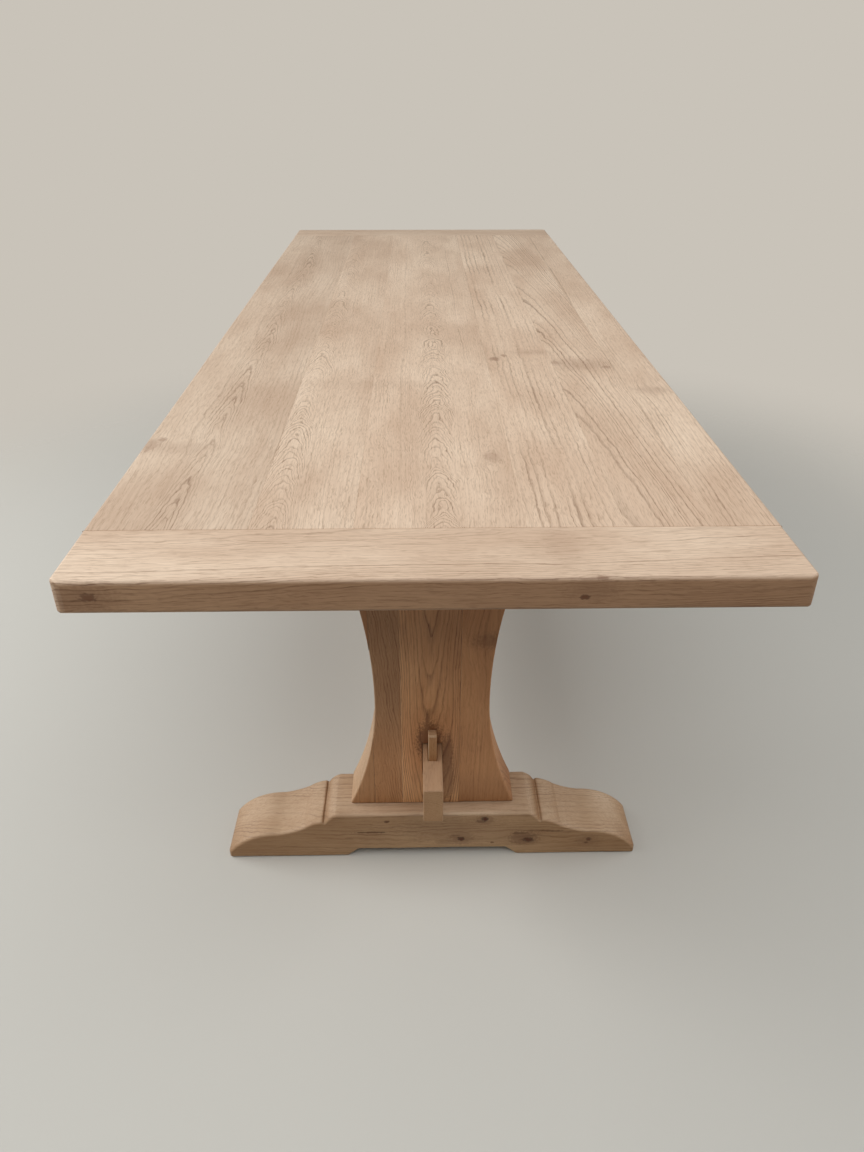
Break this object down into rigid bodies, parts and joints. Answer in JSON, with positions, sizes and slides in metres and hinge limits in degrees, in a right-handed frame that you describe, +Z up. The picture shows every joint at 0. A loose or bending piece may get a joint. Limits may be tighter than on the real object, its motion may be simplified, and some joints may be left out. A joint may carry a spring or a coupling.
{
  "type": "trestle dining table",
  "caption": "Long oak trestle dining table: planked top with breadboard ends, waisted pedestals on moulded sled feet, and a stretcher locked by tusk wedges.",
  "frame": {"origin": "on the floor under the middle of the top", "axes": "+Z up, Y along the top with the pictured end at -Y, X across the top"},
  "size_m": [0.9, 2.5, 0.76],
  "materials": {
    "top_oak": "pale matt oil on bleached oak",
    "trestle_oak": "matt oil on knotty oak",
    "peg_oak": "bare oak",
    "zinc_steel": "zinc plated"
  },
  "bodies": {
    "table": {"far_bearer": "trestle_oak", "far_bearer_pegs": "peg_oak", "far_breadboard_end": "top_oak", "far_breadboard_pegs": "peg_oak", "far_foot": "trestle_oak", "far_foot_pegs": "peg_oak", "far_pedestal_left_board": "trestle_oak", "far_pedestal_lower_flare": "trestle_oak", "far_pedestal_middle_board": "trestle_oak", "far_pedestal_right_board": "trestle_oak", "far_pedestal_upper_flare": "trestle_oak", "far_top_screws": "zinc_steel", "far_top_washers": "zinc_steel", "near_bearer": "trestle_oak", "near_bearer_pegs": "peg_oak", "near_breadboard_end": "top_oak", "near_breadboard_pegs": "peg_oak", "near_foot": "trestle_oak", "near_foot_pegs": "peg_oak", "near_pedestal_left_board": "trestle_oak", "near_pedestal_lower_flare": "trestle_oak", "near_pedestal_middle_board": "trestle_oak", "near_pedestal_right_board": "trestle_oak", "near_pedestal_upper_flare": "trestle_oak", "near_top_screws": "zinc_steel", "near_top_washers": "zinc_steel", "stretcher": "trestle_oak", "top_plank_1": "top_oak", "top_plank_2": "top_oak", "top_plank_3": "top_oak", "top_plank_4": "top_oak", "top_plank_5": "top_oak", "top_plank_6": "top_oak"},
    "near_wedge": {"near_tusk_wedge": "trestle_oak"},
    "far_wedge": {"far_tusk_wedge": "trestle_oak"}
  },
  "joints": [
    {"name": "near_wedge_lift", "type": "slide", "parent": "table", "child": "near_wedge", "axis": [0, 0, 1], "range_m": [0, 0.105]},
    {"name": "far_wedge_lift", "type": "slide", "parent": "table", "child": "far_wedge", "axis": [0, 0, 1], "range_m": [0, 0.105]}
  ]
}
